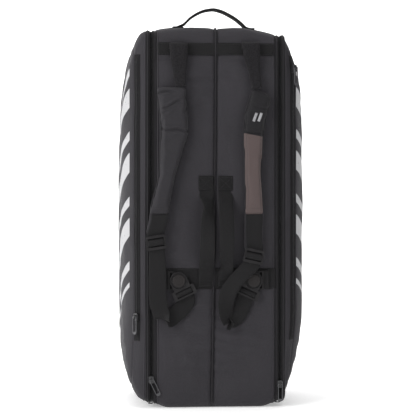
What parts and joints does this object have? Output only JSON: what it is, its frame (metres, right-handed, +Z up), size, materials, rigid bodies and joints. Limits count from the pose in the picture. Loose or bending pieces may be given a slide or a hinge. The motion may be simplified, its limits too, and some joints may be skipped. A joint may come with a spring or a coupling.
{
  "type": "racket tournament bag",
  "caption": "Long boxy racket bag with twin hinged zip compartments, side pockets, padded shoulder straps, carry handles and a top grab handle.",
  "frame": {"origin": "middle of the narrow end that the bag stands on, at floor level", "axes": "+Z up along the bag's length, -Y out of the strap side, +X to the right seen from the strap side"},
  "size_m": [0.38, 0.3692, 0.812],
  "materials": {
    "body_fabric": "matt coated woven polyester over foam",
    "side_fabric": "matt coated woven polyester over foam",
    "lining": "plain woven lining",
    "binding": "ribbed binding tape",
    "board": "thin plastic sheet",
    "zipper_tape": "knitted zipper tape with plastic coil",
    "slider_metal": "black enamel",
    "pull_plastic": "moulded rim with a dark grip web",
    "webbing": "ribbed woven webbing",
    "strap_fabric": "woven cover over foam",
    "strap_lining": "air mesh",
    "buckle_plastic": "moulded, satin",
    "buckle_cap": "moulded, soft gloss"
  },
  "bodies": {
    "bag_body": {"spine_panel_left": "body_fabric", "spine_panel_right": "body_fabric", "back_panel_left": "body_fabric", "back_panel_right": "body_fabric", "top_end_left": "body_fabric", "top_end_right": "body_fabric", "bottom_end_left": "body_fabric", "bottom_end_right": "body_fabric", "centre_divider": "lining", "racket_ties": "lining", "centre_piping": "binding", "hinge_tapes": "binding", "spine_boards": "board", "base_boards": "board", "zipper_body_left": "zipper_tape", "zipper_body_right": "zipper_tape", "lower_band": "webbing", "upper_band": "webbing", "carry_patches": "webbing", "top_handle_tails": "webbing", "buckle_tabs": "webbing", "strap_tail_left": "webbing", "strap_tail_right": "webbing", "strap_anchor_left": "webbing", "strap_anchor_right": "webbing", "swivel_bases": "buckle_plastic", "swivel_rivets": "buckle_cap"},
    "cover_left": {"cover_panel_left": "body_fabric", "pocket_shell_left": "side_fabric", "zipper_cover_left": "zipper_tape", "pocket_zip_left": "zipper_tape"},
    "slider_front_left": {"slider_front_left": "slider_metal"},
    "pull_front_left": {"pull_front_left": "pull_plastic"},
    "slider_end_left": {"slider_end_left": "slider_metal"},
    "pull_end_left": {"pull_end_left": "pull_plastic"},
    "slider_pocket_left": {"slider_pocket_left": "slider_metal"},
    "pull_pocket_left": {"pull_pocket_left": "pull_plastic"},
    "swivel_left": {"swivel_plate_left": "buckle_plastic"},
    "strap_left": {"strap_upper_left": "strap_lining", "strap_pad_left": "strap_fabric", "strap_web_left": "webbing"},
    "ladder_lock_left": {"ladder_lock_left": "buckle_plastic"},
    "carry_handle_left": {"carry_handle_left": "webbing"},
    "cover_right": {"cover_panel_right": "body_fabric", "pocket_shell_right": "side_fabric", "zipper_cover_right": "zipper_tape", "pocket_zip_right": "zipper_tape"},
    "slider_front_right": {"slider_front_right": "slider_metal"},
    "pull_front_right": {"pull_front_right": "pull_plastic"},
    "slider_end_right": {"slider_end_right": "slider_metal"},
    "pull_end_right": {"pull_end_right": "pull_plastic"},
    "slider_pocket_right": {"slider_pocket_right": "slider_metal"},
    "pull_pocket_right": {"pull_pocket_right": "pull_plastic"},
    "swivel_right": {"swivel_plate_right": "buckle_plastic"},
    "strap_right": {"strap_upper_right": "strap_lining", "strap_pad_right": "strap_fabric", "strap_web_right": "webbing"},
    "ladder_lock_right": {"ladder_lock_right": "buckle_plastic"},
    "carry_handle_right": {"carry_handle_right": "webbing"},
    "top_handle": {"top_handle": "webbing"}
  },
  "joints": [
    {"name": "cover_left_open", "type": "hinge", "parent": "bag_body", "child": "cover_left", "pos_m": [-0.136, 0.165, 0.385], "axis": [0, 0, -1], "range_deg": [0, 100]},
    {"name": "slider_front_left_slide", "type": "slide", "parent": "bag_body", "child": "slider_front_left", "axis": [0, 0, 1], "range_m": [0, 0.66]},
    {"name": "pull_front_left_swing", "type": "hinge", "parent": "slider_front_left", "child": "pull_front_left", "pos_m": [-0.131, -0.1706, 0.058], "axis": [-0.8988, 0, -0.4384], "range_deg": [0, 150]},
    {"name": "slider_end_left_slide", "type": "slide", "parent": "bag_body", "child": "slider_end_left", "axis": [0, 1, 0], "range_m": [0, 0.18]},
    {"name": "pull_end_left_swing", "type": "hinge", "parent": "slider_end_left", "child": "pull_end_left", "pos_m": [-0.131, -0.1, 0.0064], "axis": [1, 0, 0], "range_deg": [0, 150]},
    {"name": "slider_pocket_left_slide", "type": "slide", "parent": "cover_left", "child": "slider_pocket_left", "axis": [0, 0, 1], "range_m": [0, 0.5]},
    {"name": "pull_pocket_left_swing", "type": "hinge", "parent": "slider_pocket_left", "child": "pull_pocket_left", "pos_m": [-0.16457, -0.16168, 0.185], "axis": [-0.7634, 0.6459, 0], "range_deg": [0, 150]},
    {"name": "swivel_left_turn", "type": "hinge", "parent": "bag_body", "child": "swivel_left", "pos_m": [-0.076, -0.173, 0.258], "axis": [0, 1, 0], "range_deg": [-12, 50]},
    {"name": "strap_left_lift", "type": "hinge", "parent": "bag_body", "child": "strap_left", "pos_m": [-0.07, -0.17, 0.721], "axis": [-1, 0, 0], "range_deg": [0, 10]},
    {"name": "ladder_lock_left_tilt", "type": "hinge", "parent": "strap_left", "child": "ladder_lock_left", "pos_m": [-0.12445, -0.187, 0.34785], "axis": [-0.9877, 0, -0.1564], "range_deg": [0, 35]},
    {"name": "carry_handle_left_swing", "type": "hinge", "parent": "bag_body", "child": "carry_handle_left", "pos_m": [-0.0195, -0.1666, 0.3585], "axis": [0, 0, -1], "range_deg": [-5, 30], "stiffness_Nm_per_rad": 0.05},
    {"name": "cover_right_open", "type": "hinge", "parent": "bag_body", "child": "cover_right", "pos_m": [0.136, 0.165, 0.385], "axis": [0, 0, 1], "range_deg": [0, 100]},
    {"name": "slider_front_right_slide", "type": "slide", "parent": "bag_body", "child": "slider_front_right", "axis": [0, 0, 1], "range_m": [0, 0.66]},
    {"name": "pull_front_right_swing", "type": "hinge", "parent": "slider_front_right", "child": "pull_front_right", "pos_m": [0.131, -0.1706, 0.047], "axis": [-1, 0, 0], "range_deg": [0, 150]},
    {"name": "slider_end_right_slide", "type": "slide", "parent": "bag_body", "child": "slider_end_right", "axis": [0, 1, 0], "range_m": [0, 0.18]},
    {"name": "pull_end_right_swing", "type": "hinge", "parent": "slider_end_right", "child": "pull_end_right", "pos_m": [0.131, -0.1, 0.0064], "axis": [1, 0, 0], "range_deg": [0, 150]},
    {"name": "slider_pocket_right_slide", "type": "slide", "parent": "cover_right", "child": "slider_pocket_right", "axis": [0, 0, 1], "range_m": [-0.5, 0]},
    {"name": "pull_pocket_right_swing", "type": "hinge", "parent": "slider_pocket_right", "child": "pull_pocket_right", "pos_m": [0.16457, -0.16168, 0.69], "axis": [-0.7634, -0.6459, 0], "range_deg": [0, 150]},
    {"name": "swivel_right_turn", "type": "hinge", "parent": "bag_body", "child": "swivel_right", "pos_m": [0.076, -0.173, 0.258], "axis": [0, -1, 0], "range_deg": [-12, 50]},
    {"name": "strap_right_lift", "type": "hinge", "parent": "bag_body", "child": "strap_right", "pos_m": [0.07, -0.17, 0.721], "axis": [-1, 0, 0], "range_deg": [0, 10]},
    {"name": "ladder_lock_right_tilt", "type": "hinge", "parent": "strap_right", "child": "ladder_lock_right", "pos_m": [0.0776, -0.187, 0.31973], "axis": [-0.9781, 0, 0.2079], "range_deg": [0, 35]},
    {"name": "carry_handle_right_swing", "type": "hinge", "parent": "bag_body", "child": "carry_handle_right", "pos_m": [0.0195, -0.1666, 0.3585], "axis": [0, 0, 1], "range_deg": [-5, 30], "stiffness_Nm_per_rad": 0.05},
    {"name": "top_handle_swing", "type": "hinge", "parent": "bag_body", "child": "top_handle", "pos_m": [0, -0.131, 0.77], "axis": [1, 0, 0], "range_deg": [-38, 38], "stiffness_Nm_per_rad": 0.08}
  ]
}
